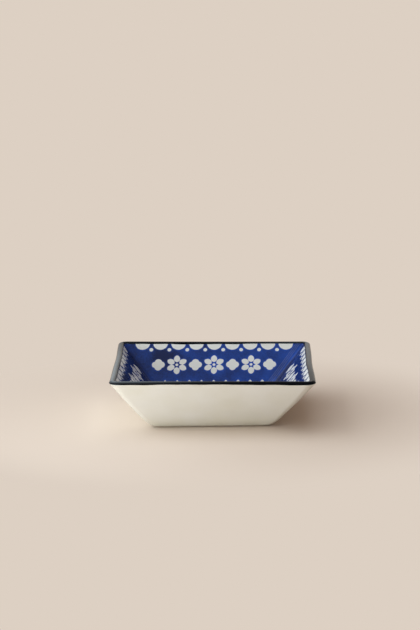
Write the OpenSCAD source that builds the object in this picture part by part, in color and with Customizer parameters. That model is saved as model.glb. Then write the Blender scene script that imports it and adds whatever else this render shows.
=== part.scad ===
// Square soy sauce dish of glazed stoneware, with a printed hollow and a dark lip
// Millimetres, +Z up, origin on the table under the middle of the foot, front wall towards -Y

/* [Dish] */
// Width across the square rim
rim_w = 90; // [76:1:120]
// Width across the square foot
foot_w = 53.6; // [48:0.2:70]
// Height from the table to the top of the lip
dish_h = 24.4; // [20:0.2:34]
// Corner radius of the foot, seen from above
foot_corner_r = 2.1; // [1.6:0.1:6]
// Corner radius of the rim, seen from above
rim_corner_r = 2.6; // [2:0.1:6]

/* [Wall and floor] */
// Thickness of the wall at the lip, measured level
lip_t = 2.9; // [2.2:0.1:4]
// Height of the lip above the outer edge of its colour band
lip_h = 1.1; // [0.8:0.1:2.4]
// Height of the lip above the inner edge of its colour band
lip_inside_h = 0.6; // [0.5:0.1:2.4]
// How square the lip is across, where 2 makes a half-ellipse and 4 is nearly flat on top
lip_power = 3; // [2:0.5:4]
// Thickness of the wall at the floor, measured level
wall_root_t = 4.4; // [3:0.1:6]
// Height of the printed floor above the table
floor_z = 3.8; // [3:0.1:6]
// Radius of the inside bend between floor and wall
floor_bend_r = 5; // [2:0.5:8]
// Corner radius of the hollow at the floor, seen from above
hollow_floor_corner_r = 4; // [2:0.1:6]
// Corner radius of the hollow at the rim, seen from above
hollow_rim_corner_r = 1.4; // [0.6:0.1:4]

/* [Foot] */
// Width of the bare ring that the dish stands on
foot_ring_w = 4; // [2.5:0.1:8]
// Height of that ring, and depth of the recess inside it
foot_ring_h = 0.8; // [0.6:0.1:1.6]
// How far the ring stands in from the wall
foot_inset = 0.8; // [0.4:0.1:2]

/* [Coats] */
// Thickness of the glaze coats
glaze_t = 0.3; // [0.2:0.05:0.6]
// Thickness of the printed transfers
print_t = 0.15; // [0.1:0.05:0.3]
// Thickness of the colour band on top of the lip
band_t = 0.35; // [0.2:0.05:0.6]

/* [Wall print] */
// Radius of the half-round scallops that hang from the rim
scallop_r = 3.4; // [2:0.1:3.6]
// Distance between the scallops
scallop_pitch = 8.4; // [7.6:0.1:12]
// Radius of the beads between the scallops
bead_r = 0.9; // [0.5:0.1:1.1]
// Radius of the rosettes
rosette_r = 5; // [3:0.1:5.2]
// Radius of the quatrefoils between the rosettes
quatrefoil_r = 3; // [2:0.1:3.2]
// Distance between a rosette and the quatrefoils beside it
rosette_pitch = 8.6; // [8.4:0.1:14]
// Width of the lozenges along the floor
lozenge_w = 2.8; // [1.5:0.1:4]
// Height of the lozenges along the floor
lozenge_h = 3.6; // [2:0.1:4]
// Distance between the lozenges
lozenge_pitch = 5.6; // [4.5:0.1:8]
// Distance from the bend of the floor up to the lower tips of the lozenges
lozenge_rise = 1; // [0.6:0.1:1.5]

/* [Floor print] */
// Radius of the rosette in the middle of the floor
floor_rosette_r = 11; // [6:0.5:12]
// Distance from that rosette's tips out to the ring of beads around it
floor_bead_gap = 2.6; // [1.6:0.2:3]
// Distance of the corner quatrefoils from the sides of the floor
floor_quatrefoil_gap = 4; // [2:0.2:5]

/* [Hidden] */
$fn = 48;

// Colours of the clay and of what is laid on it
clay_colour = "#cfc3ae";
cream_colour = "#dcd6c8";
white_colour = "#d9dcd8";
navy_colour = "#0c1424";
cobalt_colour = "#22408c";

// Even numbers of steps that draw a quarter turn of a corner, the inside bend and the lip
corner_steps = 8;
bend_steps = 6;
lip_steps = 8;

// How far a cutter runs past what it cuts
overrun = 1;
// Least strip of print between a motif and the bend of a corner
print_margin = 0.6;

// Petals and heart of a rosette, as shares of its radius
wall_petals = 6;
floor_petals = 8;
wall_petal_width_share = 0.56;
floor_petal_width_share = 0.38;
petal_start_share = 0.26;
heart_share = 0.14;
// Lobes of a quatrefoil, as a share of its radius
lobes = 4;
lobe_share = 0.54;
// Beads in the ring on the floor
floor_beads = 16;

// The colour band sits on the wall at these heights, outside and inside
band_z = dish_h - lip_h;
inside_band_z = dish_h - lip_inside_h;

// Outside wall: a straight line from the foot to the band
outer_run = (rim_w - foot_w) / 2;
outer_angle = atan2(band_z, outer_run);
function outer_half(z) = foot_w / 2 + outer_run * z / band_z;
function outer_corner(z) = foot_corner_r + (rim_corner_r - foot_corner_r) * z / band_z;

// Hollow: a straight wall from the sharp floor edge to the band, and a bend that rounds that edge
hollow_h = inside_band_z - floor_z;
hollow_rim_half = rim_w / 2 - lip_t;
hollow_floor_half = outer_half(floor_z) - wall_root_t;
hollow_angle = atan2(hollow_h, hollow_rim_half - hollow_floor_half);
bend_half = hollow_floor_half - floor_bend_r * tan(hollow_angle / 2);
function hollow_corner(z) =
    hollow_floor_corner_r + (hollow_rim_corner_r - hollow_floor_corner_r) * (z - floor_z) / hollow_h;

// Depth of the white glaze and of the clay below the face of the print
glaze_depth = print_t;
clay_depth = print_t + glaze_t;

// A ring is a rounded square lying level: [half its width, its height, its corner radius]

// Ring on the outside wall at a height, sunk square to the wall by a coat
function outer_ring(z, coat) =
    let (level = coat / sin(outer_angle))
    [outer_half(z) - level, z, outer_corner(z) - level];

// Ring on the bend of the hollow, grown by a coat, after part of the turn from floor to wall
function bend_ring(turn, coat) =
    let (bend_z = floor_z + floor_bend_r)
    let (r = floor_bend_r + coat)
    let (corner = hollow_corner(bend_z - floor_bend_r * cos(turn)))
    [bend_half + r * sin(turn), bend_z - r * cos(turn), corner + coat * sin(turn)];

// Ring where the wall of the hollow meets the colour band, grown by a coat
function hollow_rim_ring(coat) =
    let (level = coat / sin(hollow_angle))
    [hollow_rim_half + level, inside_band_z, hollow_rim_corner_r + level];

// Rings of the hollow from its floor up to the band, grown by a coat
function hollow_rings(coat) = concat(
    [for (i = [0 : bend_steps]) bend_ring(hollow_angle * i / bend_steps, coat)],
    [hollow_rim_ring(coat)]
);

// Rings over the lip from a ring outside the wall to the one inside, a squared arch up to a height
function arch_rings(outside, inside, top_z) =
    let (middle = (outside + inside) / 2)
    let (reach = (outside - inside) / 2)
    [
        for (i = [1 : lip_steps - 1])
            let (turn = 180 * i / lip_steps)
            let (out_share = sign(cos(turn)) * pow(abs(cos(turn)), 2 / lip_power))
            let (up_share = pow(sin(turn), 2 / lip_power))
            let (foot_z = turn < 90 ? outside[1] : inside[1])
            [
                middle[0] + reach[0] * out_share,
                foot_z + (top_z - foot_z) * up_share,
                middle[2] + reach[2] * out_share
            ]
    ];

function backwards(list) = [for (i = [len(list) - 1 : -1 : 0]) list[i]];

// Places along a ring: [corner, turn], counter-clockwise from above
round_turns = [
    for (corner = [0 : 3], i = [0 : corner_steps])
        [corner, 90 * (corner + i / corner_steps)]
];
// The front side alone, from the middle of one corner to the middle of the next
front_turns = [
    for (corner = [2, 3], i = [0 : corner_steps / 2])
        [corner, 225 + 45 * (corner - 2) + 90 * i / corner_steps]
];
corner_signs = [[1, 1], [-1, 1], [-1, -1], [1, -1]];

function ring_point(ring, place) =
    let (middle = (ring[0] - ring[2]) * corner_signs[place[0]])
    [middle[0] + ring[2] * cos(place[1]), middle[1] + ring[2] * sin(place[1]), ring[1]];

function level_outline(ring) =
    [for (place = round_turns) let (p = ring_point(ring, place)) [p[0], p[1]]];

// Skin over rings that are carried through places, two triangles to each patch
// A cup goes all round and is closed by its first and last ring
// A loop of rings comes back to its first ring, all round as a tube or along one side as a strip
module skin(rings, places, loop, all_round) {
    m = len(rings);
    n = len(places);
    function at(i, j) = (i % m) * n + j % n;
    patches = [
        for (i = [0 : m - (loop ? 1 : 2)], j = [0 : n - (all_round ? 1 : 2)])
            each [
                [at(i, j), at(i + 1, j), at(i + 1, j + 1)],
                [at(i, j), at(i + 1, j + 1), at(i, j + 1)]
            ]
    ];
    level_ends = loop ? [] : [
        [for (j = [0 : n - 1]) at(0, j)],
        [for (j = [n - 1 : -1 : 0]) at(m - 1, j)]
    ];
    upright_ends = all_round ? [] : [
        [for (i = [m - 1 : -1 : 0]) at(i, 0)],
        [for (i = [0 : m - 1]) at(i, n - 1)]
    ];
    polyhedron(
        points = [for (ring = rings, place = places) ring_point(ring, place)],
        faces = concat(patches, level_ends, upright_ends)
    );
}

module cup(rings) {
    skin(rings, round_turns, false, true);
}

module tube(rings) {
    skin(rings, round_turns, true, true);
}

module front_strip(rings) {
    skin(rings, front_turns, true, false);
}

// Outlines of the foot ring, under the clay wall
wall_root = outer_ring(foot_ring_h, glaze_t);
foot_outside = wall_root - [foot_inset, 0, 0];
recess_outside = [foot_outside[0] - foot_ring_w, foot_ring_h, foot_corner_r];

// The clay's lip, under the colour band
clay_outside = outer_ring(band_z, glaze_t);
clay_inside = hollow_rim_ring(clay_depth);
clay_arch = arch_rings(clay_outside, clay_inside, dish_h - band_t);

module foot_ring() {
    linear_extrude(height = foot_ring_h)
        difference() {
            polygon(level_outline(foot_outside));
            polygon(level_outline(recess_outside));
        }
}

module clay_body() {
    color(clay_colour) {
        foot_ring();
        cup(concat(
            [wall_root, clay_outside],
            clay_arch,
            backwards(hollow_rings(clay_depth))
        ));
    }
}

module outer_glaze() {
    color(cream_colour)
        tube([
            outer_ring(foot_ring_h, 0),
            outer_ring(band_z, 0),
            clay_outside,
            wall_root
        ]);
}

module base_glaze() {
    color(cream_colour)
        translate([0, 0, foot_ring_h - glaze_t])
            linear_extrude(height = glaze_t)
                polygon(level_outline(recess_outside));
}

module inner_glaze() {
    color(white_colour)
        cup(concat(hollow_rings(clay_depth), backwards(hollow_rings(glaze_depth))));
}

module rim_band() {
    outside = outer_ring(band_z, 0);
    inside = hollow_rim_ring(0);
    color(navy_colour)
        tube(concat(
            [outside],
            arch_rings(outside, inside, dish_h),
            [inside, clay_inside],
            backwards(clay_arch),
            [clay_outside]
        ));
}

// Motifs of the print, which are windows that show the white glaze

// A pointed petal along +X, where two round arcs cross
module petal(petal_l, petal_w) {
    arc_r = (petal_l * petal_l + petal_w * petal_w) / (4 * petal_w);
    translate([petal_l / 2, 0])
        intersection_for (side = [-1, 1])
            translate([0, side * (arc_r - petal_w / 2)])
                circle(r = arc_r);
}

// Petals around a round heart, the first one turned from +X
module rosette(r, petals, width_share, first_turn) {
    circle(r = r * heart_share);
    for (i = [0 : petals - 1])
        rotate(first_turn + 360 * i / petals)
            translate([r * petal_start_share, 0])
                petal(r * (1 - petal_start_share), r * width_share);
}

// Round lobes that overlap at the middle
module quatrefoil() {
    lobe_r = quatrefoil_r * lobe_share;
    for (i = [0 : lobes - 1])
        rotate(360 * i / lobes)
            translate([quatrefoil_r - lobe_r, 0])
                circle(r = lobe_r);
}

module lozenge() {
    polygon([
        [lozenge_w / 2, 0],
        [0, lozenge_h / 2],
        [-lozenge_w / 2, 0],
        [0, -lozenge_h / 2]
    ]);
}

// Length of a wall's flat, down its slope from the band to the bend
flat_l = hollow_h / sin(hollow_angle) - floor_bend_r * tan(hollow_angle / 2);
lozenge_drop = flat_l - lozenge_rise - lozenge_h / 2;
// The rosettes lie midway between the scallops and the lozenges
rosette_drop = (scallop_r + lozenge_drop - lozenge_h / 2) / 2;

// Room to each side of the middle on the flat of a wall, at a distance down from the band
function wall_room(drop) =
    hollow_rim_half
    - drop * cos(hollow_angle)
    - hollow_corner(inside_band_z - drop * sin(hollow_angle))
    - print_margin;

// Numbers of the places in a row to both sides of the middle
function row_places(room, pitch) =
    let (count = max(floor(room / pitch), 0))
    [for (i = [-count : count]) i];

// Half-round scallops, with a bead in each gap between two of them
module scallop_row() {
    places = row_places(wall_room(scallop_r) - scallop_r, scallop_pitch);
    for (i = places)
        translate([i * scallop_pitch, 0])
            circle(r = scallop_r);
    for (i = places)
        if (i > 0)
            for (side = [-1, 1])
                translate([side * (i - 1 / 2) * scallop_pitch, scallop_r])
                    circle(r = bead_r);
}

// Rosettes and quatrefoils take turns, with a rosette in the middle
module rosette_row() {
    rosette_room = wall_room(rosette_drop + rosette_r) - rosette_r;
    quatrefoil_room = wall_room(rosette_drop + quatrefoil_r) - quatrefoil_r;
    for (i = row_places(rosette_room, 2 * rosette_pitch))
        translate([2 * i * rosette_pitch, rosette_drop])
            rosette(rosette_r, wall_petals, wall_petal_width_share, 90);
    for (i = row_places(quatrefoil_room, rosette_pitch))
        if (i % 2 != 0)
            translate([i * rosette_pitch, rosette_drop])
                quatrefoil();
}

module lozenge_row() {
    lozenge_room = wall_room(lozenge_drop + lozenge_h / 2) - lozenge_w / 2;
    for (i = row_places(lozenge_room, lozenge_pitch))
        translate([i * lozenge_pitch, lozenge_drop])
            lozenge();
}

// Windows of the front wall: x runs along the wall, y down its slope from the band
module wall_windows() {
    translate([0, -hollow_rim_half, inside_band_z])
        rotate([-hollow_angle, 0, 0])
            translate([0, 0, -print_t - overrun])
                linear_extrude(height = print_t + 2 * overrun) {
                    scallop_row();
                    rosette_row();
                    lozenge_row();
                }
}

module wall_print(turns) {
    color(cobalt_colour)
        rotate(90 * turns)
            difference() {
                front_strip(concat(hollow_rings(glaze_depth), backwards(hollow_rings(0))));
                wall_windows();
            }
}

module front_wall_print() {
    wall_print(0);
}

module right_wall_print() {
    wall_print(1);
}

module back_wall_print() {
    wall_print(2);
}

module left_wall_print() {
    wall_print(3);
}

module floor_windows() {
    quatrefoil_reach = bend_half - floor_quatrefoil_gap - quatrefoil_r;
    rosette(floor_rosette_r, floor_petals, floor_petal_width_share, 0);
    for (i = [0 : floor_beads - 1])
        rotate(360 * i / floor_beads)
            translate([floor_rosette_r + floor_bead_gap, 0])
                circle(r = bead_r);
    for (signs = corner_signs)
        translate(quatrefoil_reach * signs)
            quatrefoil();
}

module floor_print() {
    color(cobalt_colour)
        translate([0, 0, floor_z - print_t])
            linear_extrude(height = print_t)
                difference() {
                    polygon(level_outline(bend_ring(0, 0)));
                    floor_windows();
                }
}

clay_body();
outer_glaze();
base_glaze();
inner_glaze();
rim_band();
floor_print();
front_wall_print();
right_wall_print();
back_wall_print();
left_wall_print();
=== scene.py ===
"""Square soy sauce dish of glazed stoneware, with a printed hollow and a dark lip.

Every piece is a rounded square carried along a profile, in metres, +Z up, front wall towards -Y.
"""

import math

import bpy
import numpy as np
from mathutils import Matrix, Vector


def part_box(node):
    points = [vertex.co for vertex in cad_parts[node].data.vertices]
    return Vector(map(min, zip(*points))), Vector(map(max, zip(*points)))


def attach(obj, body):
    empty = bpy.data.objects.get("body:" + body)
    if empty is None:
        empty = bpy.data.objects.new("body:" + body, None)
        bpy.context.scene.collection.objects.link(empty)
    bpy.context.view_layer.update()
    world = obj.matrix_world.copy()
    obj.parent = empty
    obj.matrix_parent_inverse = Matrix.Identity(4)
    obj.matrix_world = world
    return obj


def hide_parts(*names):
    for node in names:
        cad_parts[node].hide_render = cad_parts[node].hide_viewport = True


bl_info = {
    "name": "Soy sauce dish",
    "version": (1, 0, 0),
    "blender": (4, 5, 0),
    "location": "View3D > Sidebar > Sauce dish",
    "description": "Builds a square glazed sauce dish around its packed solids",
    "category": "Object",
}

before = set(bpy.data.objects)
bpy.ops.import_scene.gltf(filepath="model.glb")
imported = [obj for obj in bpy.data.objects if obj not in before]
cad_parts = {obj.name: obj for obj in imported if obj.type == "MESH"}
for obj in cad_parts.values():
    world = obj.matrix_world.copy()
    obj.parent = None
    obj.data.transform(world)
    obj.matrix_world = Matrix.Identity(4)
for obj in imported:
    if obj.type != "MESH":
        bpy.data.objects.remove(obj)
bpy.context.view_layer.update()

RIM_LOW, RIM_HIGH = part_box("rim_band")
FLOOR_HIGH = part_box("floor_print")[1]
PRINT_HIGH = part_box("front_wall_print")[1]
RECESS_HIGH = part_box("base_glaze")[1]

MM = 0.001
QUARTER_TURN = math.pi / 2
FULL_TURN = 2 * math.pi
SHARP_ANGLE = math.radians(40)
# Watts to each square metre of a softbox that shows as white
LAMP_POWER = 4
# Sockets of a colour Mix node: the amount, the colours at none of it and at all of it, and the mixed colour
AMOUNT, AT_NONE, AT_FULL, MIXED = 0, 6, 7, 2

# Steps along a side of a rounded square, and round one of its corners
PLAIN_STEPS = (24, 12)
WALL_STEPS = (72, 16)
RIM_STEPS = (90, 16)
FLOOR_STEPS = (96, 16)
SHEET_STEPS = (240, 8)
# Rings down the straight wall of the hollow, and round its bend
COAT_RINGS = (6, 9)
FACE_RINGS = (66, 13)
BACK_RINGS = (2, 9)
# Rings of the other stretches of a profile
FOOT_EDGE_RINGS = 5
ROLL_RINGS = 9
WALL_RINGS = 26
LIP_RINGS = 33
BAND_BACK_RINGS = 9
CLAY_LIP_RINGS = 17
FLOOR_RINGS = 100


# Sizes, colours and finishes that a user may change


def linear(code):
    """Turns an sRGB hex code into linear red, green and blue by the sRGB curve, with a full alpha."""
    shares = [int(code[i : i + 2], 16) / 255 for i in (1, 3, 5)]
    return (*[s / 12.92 if s <= 0.04045 else ((s + 0.055) / 1.055) ** 2.4 for s in shares], 1)


def length(name, description, default):
    """A length in metres."""
    return bpy.props.FloatProperty(
        name=name, description=description, default=default, unit="LENGTH", subtype="DISTANCE", precision=5
    )


def angle(name, description, degrees):
    """An angle, given in degrees and kept in radians."""
    return bpy.props.FloatProperty(
        name=name, description=description, default=math.radians(degrees), unit="ROTATION", subtype="ANGLE"
    )


def share(name, description, default):
    """A share of another size or strength."""
    return bpy.props.FloatProperty(name=name, description=description, default=default, subtype="FACTOR")


def number(name, description, default):
    """A plain number."""
    return bpy.props.FloatProperty(name=name, description=description, default=default, min=0)


def count(name, description, default):
    """A number of copies."""
    return bpy.props.IntProperty(name=name, description=description, default=default, min=1)


def colour(name, description, code):
    """A colour, given as its sRGB hex code and kept linear."""
    return bpy.props.FloatVectorProperty(
        name=name, description=description, default=linear(code), size=4, min=0, max=1, subtype="COLOR"
    )


class DishSizes(bpy.types.PropertyGroup):
    """Sizes of the clay, the glaze coats and the lip."""

    rim_width: length("Rim width", "Width across the square rim", RIM_HIGH.x - RIM_LOW.x)
    height: length("Height", "Height from the table to the top of the lip", RIM_HIGH.z)
    band_height: length("Band height", "Height at which the lip begins outside", RIM_LOW.z)
    print_height: length("Print height", "Height at which the lip begins inside", PRINT_HIGH.z)
    foot_width: length("Foot width", "Width across the walls, drawn on down to the table", 53.6 * MM)
    foot_corner: length("Foot corner", "Corner radius of the walls at the table", 2.1 * MM)
    rim_corner: length("Rim corner", "Corner radius of the walls at the rim", 4.2 * MM)
    lip_thickness: length("Lip thickness", "Thickness of the wall at the lip, measured level", 2.5 * MM)
    lip_power: number("Lip squareness", "How square the lip is across; 2 is a half-ellipse", 2)
    wall_root: length("Wall root", "Thickness of the wall at the floor, measured level", 4.4 * MM)
    floor_height: length("Floor height", "Height of the printed floor above the table", FLOOR_HIGH.z)
    bend_radius: length("Bend radius", "Radius of the inside bend between floor and wall", 5 * MM)
    hollow_floor_corner: length("Hollow floor corner", "Corner radius of the hollow at its floor", 4 * MM)
    hollow_rim_corner: length("Hollow rim corner", "Corner radius of the hollow at the rim", 1.4 * MM)
    ring_height: length("Foot ring height", "Height of the bare ring that the dish stands on", 0.6 * MM)
    ring_inset: length("Foot ring inset", "How far the ring stands in from the clay wall", 0.8 * MM)
    recess_half: length("Recess", "Half the width of the recess inside the foot ring", RECESS_HIGH.x)
    ring_edge: length("Foot ring edge", "Radius that rounds the edges of the foot ring", 0.25 * MM)
    glaze: length("Glaze", "Thickness of the glaze coats", 0.3 * MM)
    print_sheet: length("Print sheet", "Thickness of the printed transfers", 0.15 * MM)
    band: length("Band", "Thickness of the colour band on top of the lip", 0.35 * MM)
    band_lift: length("Band lift", "How far the colour band stands proud of the glaze", 0.06 * MM)
    band_drop: length("Band drop", "How far the brushed band runs down past the lip", 0.25 * MM)
    brush_wander: length("Brush wander", "How far the edge of the band strays up and down", 0.35 * MM)
    corner_rise: length("Corner rise", "How far the edge of the band draws up at the corners", 0.3 * MM)
    corner_reach: length("Corner reach", "Distance from a corner over which it draws up", 1.2 * MM)
    glaze_roll: length("Glaze roll", "Radius of the rolled glaze edge above the foot", 0.9 * MM)


class DishHand(bpy.types.PropertyGroup):
    """How far the hand-finished dish strays from true."""

    bow: length("Bow", "How far the sides of the rim bow in at their middle", 0.45 * MM)
    wave: length("Wave", "How far the left and right sides of the rim wave in and out", 0.11 * MM)
    wave_count: number("Wave count", "Waves along one of those sides", 1.9)
    wave_slip: number("Wave slip", "Waves by which the right side lags behind the left", 0.7)
    wave_start: angle("Wave start", "Where in its turn the wave stands at the middle of the dish", 26.93)
    bulge: length("Bulge", "How far the walls bulge out halfway up", 0.46 * MM)
    tuck: length("Tuck", "How far the walls tuck in at the foot", 1.15 * MM)
    tuck_height: length("Tuck height", "Height up to which they tuck in", 4 * MM)
    rim_shift: length("Rim shift", "How far the rim stands to the right of the foot", 0.72 * MM)
    rim_lean: angle("Rim lean", "How far the rim leans down to the right", 0.74)


class PrintSizes(bpy.types.PropertyGroup):
    """Sizes of the white motifs in the cobalt print."""

    scallop: length("Scallop", "Radius of the half-round scallops that hang from the rim", 3.4 * MM)
    scallop_pitch: length("Scallop pitch", "Distance between the scallops", 8.4 * MM)
    scallops: count("Scallops", "Scallops to each side of the middle one", 4)
    bead: length("Bead", "Radius of the beads", 0.9 * MM)
    rosette: length("Rosette", "Radius of the rosettes on the walls", 5 * MM)
    rosette_pitch: length("Rosette pitch", "Distance from a rosette to the quatrefoils beside it", 8.6 * MM)
    rosettes: count("Rosettes", "Rosettes to each side of the middle one", 1)
    quatrefoil: length("Quatrefoil", "Radius of the quatrefoils", 3 * MM)
    lozenge_width: length("Lozenge width", "Width of the lozenges along the floor", 2.8 * MM)
    lozenge_height: length("Lozenge height", "Height of the lozenges along the floor", 3.6 * MM)
    lozenge_pitch: length("Lozenge pitch", "Distance between the lozenges", 5.6 * MM)
    lozenges: count("Lozenges", "Lozenges to each side of the middle one", 4)
    lozenge_rise: length("Lozenge rise", "Distance from the bend up to the tips of the lozenges", 1 * MM)
    floor_rosette: length("Floor rosette", "Radius of the rosette in the middle of the floor", 11 * MM)
    floor_bead_gap: length("Floor bead gap", "Distance from that rosette's tips to its beads", 2.6 * MM)
    floor_beads: count("Floor beads", "Beads in the ring on the floor", 16)
    floor_quatrefoil_gap: length("Floor quatrefoil gap", "Distance of the quatrefoils from the sides", 4 * MM)
    wall_petals: count("Wall petals", "Petals of a rosette on the walls", 6)
    floor_petals: count("Floor petals", "Petals of the rosette on the floor", 8)
    wall_petal_share: share("Wall petal width", "Width of a petal, as a share of its rosette", 0.56)
    floor_petal_share: share("Floor petal width", "Width of a petal, as a share of its rosette", 0.38)
    petal_start_share: share("Petal start", "Where the petals begin, as a share of the rosette", 0.26)
    heart_share: share("Heart", "Radius of the heart, as a share of the rosette", 0.14)
    lobes: count("Lobes", "Lobes of a quatrefoil", 4)
    lobe_share: share("Lobe", "Radius of a lobe, as a share of the quatrefoil", 0.54)


class DishColours(bpy.types.PropertyGroup):
    """Colours of the clay, the coats, the table and the light."""

    cream: colour("Cream", "Glaze outside", "#e2e2dc")
    pooled_cream: colour("Pooled cream", "Glaze outside where it lies thick", "#d9d7c8")
    white: colour("White", "Glaze inside, and the motifs", "#e6eae6")
    cobalt: colour("Cobalt", "Printed ground", "#1b4fb4")
    # Deep cobalt is both the dark clouds of the printed ground and its painted shade, the deeper ground on
    # the left wall and the left end of the back sheet that stands in for the left wall's shade
    deep_cobalt_and_shade: colour("Deep cobalt", "Printed ground where the colour lies thick", "#091d50")
    navy: colour("Navy", "Band on the lip", "#02050c")
    # Thin navy is both the band's real thinning at its edges and the painted sheen on top of the lip, a grey
    # that stands in for the grazing reflection of the pale backdrop
    thin_navy_and_sheen: colour("Thin navy", "Band where it thins, on top of the lip and at its edges", "#7b868d")
    clay: colour("Clay", "Bare stoneware of the foot", "#cbbda6")
    sand: colour("Sand", "Darker grains in the bare stoneware", "#9c8f7c")
    table: colour("Table", "Paper that the dish stands on", "#ddd0c3")
    backdrop: colour("Backdrop", "Studio round the table, as the eye and the gloss see it", "#e8e0d8")
    fill: colour("Fill", "Even light from all round, warm from the table", "#ffe0ce")
    lamp: colour("Lamp", "Light of the softboxes", "#f4fcff")


class DishFinish(bpy.types.PropertyGroup):
    """Gloss of the glazes, how unevenly glaze, print and clay set, and the painted shade of the print and
    painted sheen on the lip.
    """

    glaze_roughness: share("Glaze roughness", "Roughness of the fired glazes", 0.13)
    clay_roughness: share("Clay roughness", "Roughness of the bare stoneware", 0.9)
    paper_roughness: share("Paper roughness", "Roughness of the paper table", 0.9)
    glaze_ior: number("Glaze IOR", "Index of refraction of the clear and cream glazes", 1.5)
    print_ior: number("Print IOR", "Index of refraction of the printed colour", 1.2)
    band_ior: number("Band IOR", "Index of refraction of the dry, brushed band", 1.1)
    ripple: length("Ripple", "Distance across the slow ripples of the glaze", 6 * MM)
    ripple_depth: length("Ripple depth", "Depth of those ripples", 0.03 * MM)
    cloud: length("Cloud", "Distance across the clouds of thicker glaze", 14 * MM)
    cloud_start: share("Cloud start", "Thickness at which the cream glaze begins to deepen", 0.35)
    pooled_share: share("Pooled", "How much thicker the glaze lies where it ran down", 0.4)
    pooled_reach_share: share("Pooled reach", "How far up it does so, as a share of the height", 1 / 3)
    print_cloud: length("Print cloud", "Distance across the clouds in the printed ground", 11 * MM)
    print_grain: length("Print grain", "Distance across the grain of the printed ground", 0.7 * MM)
    grain_share: share("Grain", "Strength of the grain beside that of the clouds", 0.35)
    deep_ground: number("Deep ground", "Sum of clouds and grain at which the ground is deepest", 0.35)
    light_ground: number("Light ground", "Sum of clouds and grain at which it is lightest", 1.05)
    wander: length("Wander", "Distance over which the motifs' edges wander", 1.6 * MM)
    wander_depth: length("Wander depth", "How far the motifs' edges wander to either side", 0.12 * MM)
    bleed: length("Bleed", "Half the width of the motifs' soft edges", 0.07 * MM)
    halo: length("Halo", "Width of the lighter ground round the motifs", 0.8 * MM)
    halo_share: share("Halo strength", "How much lighter the ground is there", 0.3)
    # Painted shade of the print: these deepen the ground all along the left and right sheets and towards one
    # end of the front and back sheets; on the left sheet and at the left end of the back sheet this stands in
    # for the shade that the left wall casts
    painted_shade_share: share("Thick end", "How much deeper the ground is where it lies thick", 0.32)
    painted_shade_start: length("Thick start", "From a sheet's thin end to where it begins to deepen", 20 * MM)
    painted_shade_full: length("Thick full", "From that end to where it is deepest", 95 * MM)
    crease_start: length("Crease start", "Distance from a corner to the first hairline crease", 2.2 * MM)
    crease_step: length("Crease step", "Distance from one hairline crease to the next", 0.9 * MM)
    crease_width: length("Crease width", "Width of a hairline crease", 0.25 * MM)
    crease_share: share("Crease strength", "How much of the white a crease lets through", 0.22)
    creases: count("Creases", "Hairline creases beside each corner", 3)
    streak: length("Streak", "Distance across the streaks of the brush", 1.2 * MM)
    streak_depth: length("Streak depth", "How far the streaks fray the edge of the band", 0.3 * MM)
    thin_edge: length("Thin edge", "Width over which the band thins towards its edge", 0.2 * MM)
    bare_edge: length("Bare edge", "Width over which the band fades to bare glaze past its edge", 0.5 * MM)
    bare_share: share("Bare", "How much of the glaze under the band shows past its edge", 0.5)
    # Painted sheen: how far the top of the lip turns grey, in place of the grazing reflection of the pale
    # backdrop
    painted_sheen_share: share("Thin crown", "How far the band thins on top of the lip, where the brush ran dry", 0.9)
    sand_grain: length("Sand grain", "Distance across the grains of the bare stoneware", 0.6 * MM)
    sand_depth: length("Sand depth", "Depth of those grains", 0.1 * MM)


class DishStage(bpy.types.PropertyGroup):
    """Camera, softboxes and table."""

    camera_distance: length("Camera distance", "From the camera to the plane through the dish", 1.04882)
    camera_right: length("Camera right", "How far the camera stands to the right of the dish", -0.5 * MM)
    camera_up: length("Camera up", "How far the camera stands above its line to the dish", 44.7 * MM)
    camera_turn: angle("Camera turn", "How far the camera is turned round the dish", 0.881)
    camera_pitch: angle("Camera pitch", "How far the camera looks down", 10.8)
    camera_roll: angle("Camera roll", "How far the camera is tipped sideways", 0.908)
    camera_reach: length("Camera reach", "How far the camera sees", 120.0)
    lens: bpy.props.FloatProperty(
        name="Lens", description="Focal length of the camera", default=131.96, unit="CAMERA"
    )
    sky_glow: number("Sky glow", "Strength of the even light from all round", 0.27)
    left_distance: length("Left distance", "From the dish to the large softbox on its left", 0.5)
    left_width: length("Left width", "Width of that softbox", 1.3)
    left_height: length("Left height", "Height of that softbox, which stands on the table", 0.9)
    left_glow: number("Left glow", "Brightness of that softbox, where 1 shows as white", 1.3)
    front_distance: length("Front distance", "From the dish to the small softbox at its front left", 0.21)
    front_turn: angle("Front turn", "Direction of that softbox, from the right, counter-clockwise", 230)
    front_width: length("Front width", "Width of that softbox", 0.2)
    front_height: length("Front height", "Height of that softbox, which stands on the table", 0.05)
    front_glow: number("Front glow", "Brightness of that softbox", 4.9)
    overhead_left: length("Overhead left", "How far the softbox overhead hangs to the left of the dish", 0.15)
    overhead_height: length("Overhead height", "From the table up to the middle of that softbox", 0.8)
    overhead_width: length("Overhead width", "Width of that softbox", 1.0)
    overhead_depth: length("Overhead depth", "Depth of that softbox", 0.8)
    overhead_glow: number("Overhead glow", "Brightness of that softbox", 0.9)
    table_half: length("Table half", "Half the width of the table", 12.0)
    shade_reach: length("Shade reach", "From the dish to where the table's shading begins to fade", 0.07)
    plain_reach: length("Plain reach", "From the dish to where the table shows its plain colour", 0.14)


# Cross-section and meshes


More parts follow.
